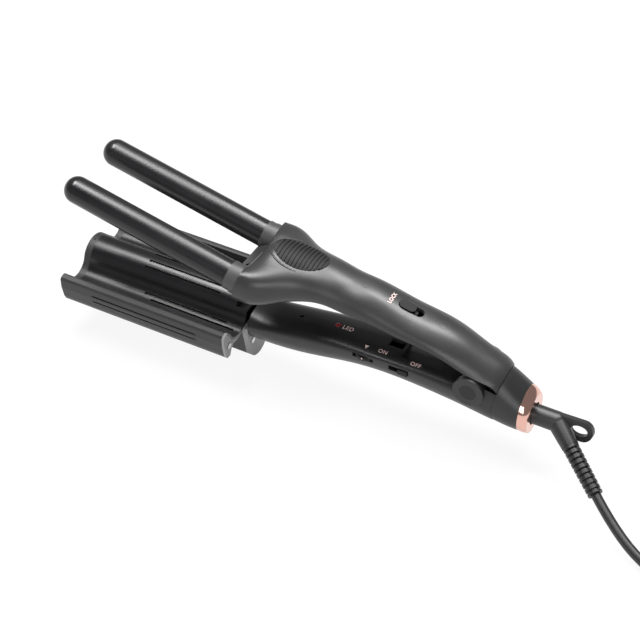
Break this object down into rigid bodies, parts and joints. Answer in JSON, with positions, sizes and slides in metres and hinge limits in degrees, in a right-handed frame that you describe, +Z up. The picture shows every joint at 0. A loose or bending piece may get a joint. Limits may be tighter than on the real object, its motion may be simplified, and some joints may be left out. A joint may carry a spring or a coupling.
{
  "type": "hair waver",
  "caption": "Tong-shaped hair waver: two heated barrels on a spring-loaded upper arm close into the troughs of a ribbed wave plate; sliding lock, power switch, heat wheel and swivelling lead.",
  "frame": {"origin": "bottom centre of the waver's own box, without its strain relief, lead and plug: half way along it, on its plane of symmetry and on the surface that the jaw's keel stands on", "axes": "+X from the tail towards the tips of the jaw, along the jaw; +Y across it to the left; +Z up, from the keel towards the barrels"},
  "size_m": [0.5082, 0.1086, 0.1029],
  "materials": {
    "graphite_plastic": "satin graphite-grey plastic",
    "plate_coating": "semi-gloss dark ceramic coating on metal",
    "grey_plastic": "matte light grey heat-resistant plastic",
    "black_plastic": "satin black plastic",
    "grip_rubber": "matte ribbed grip",
    "cord_rubber": "matte black",
    "rose_gold": "polished rose-gold metal",
    "red_lens": "dark red indicator lens",
    "steel": "plain steel",
    "aluminium": "plain aluminium",
    "board": "circuit board",
    "brass": "plain brass"
  },
  "bodies": {
    "jaw_and_handle": {"wave_plate": "plate_coating", "jaw_housing": "graphite_plastic", "jaw_front_cap": "graphite_plastic", "jaw_rear_cap_left": "grey_plastic", "jaw_rear_cap_right": "grey_plastic", "keel_cap": "grey_plastic", "plate_end_cap": "plate_coating", "jaw_mount_bar": "black_plastic", "plate_heater": "aluminium", "heater_clamp": "steel", "thermal_fuse": "steel", "jaw_screws": "steel", "lower_shell": "graphite_plastic", "lower_cover": "graphite_plastic", "handle_screws": "steel", "control_board": "board", "potentiometer": "black_plastic", "switch_body": "black_plastic", "led_lens": "red_lens", "hinge_pin": "steel", "hinge_caps": "graphite_plastic", "hinge_spring": "steel", "tail_cover": "graphite_plastic", "swivel_socket": "black_plastic", "tail_ring": "rose_gold"},
    "upper_arm": {"upper_shell": "graphite_plastic", "upper_cover": "graphite_plastic", "arm_screws": "steel", "thumb_pad": "grip_rubber", "barrel_left": "plate_coating", "barrel_right": "plate_coating", "barrel_tip_left": "black_plastic", "barrel_tip_right": "black_plastic", "collar_left": "grey_plastic", "collar_right": "grey_plastic", "heater_rod_left": "aluminium", "heater_rod_right": "aluminium"},
    "lock": {"lock_button": "black_plastic", "latch_hook": "black_plastic"},
    "power_switch": {"power_switch_knob": "black_plastic"},
    "temperature_wheel": {"temperature_wheel": "black_plastic"},
    "cord_swivel": {"swivel_stem": "black_plastic", "slip_ring_rear": "brass", "slip_ring_front": "brass", "strain_relief": "cord_rubber", "mains_lead": "cord_rubber", "lead_coil": "cord_rubber", "coil_ties": "black_plastic", "plug_lead": "cord_rubber", "plug_body": "cord_rubber", "plug_pins": "brass"}
  },
  "joints": [
    {"name": "arm_hinge", "type": "hinge", "parent": "jaw_and_handle", "child": "upper_arm", "pos_m": [-0.09125, 0, 0.0437], "axis": [0, 1, 0], "range_deg": [0, 12.9], "stiffness_Nm_per_rad": 0.8, "springref_deg": -22.92},
    {"name": "lock_slide", "type": "slide", "parent": "upper_arm", "child": "lock", "axis": [-0.9748, 0, -0.2233], "range_m": [0, 0.0045]},
    {"name": "power_slide", "type": "slide", "parent": "jaw_and_handle", "child": "power_switch", "axis": [1, 0, 0], "range_m": [0, 0.0055]},
    {"name": "temperature_dial", "type": "hinge", "parent": "jaw_and_handle", "child": "temperature_wheel", "pos_m": [-0.02725, 0.00844, 0.0397], "axis": [0, 0, 1], "range_deg": [0, 270]},
    {"name": "cord_swivel_turn", "type": "hinge", "parent": "jaw_and_handle", "child": "cord_swivel", "pos_m": [-0.12125, 0, 0.03], "axis": [1, 0, 0], "continuous": true}
  ]
}
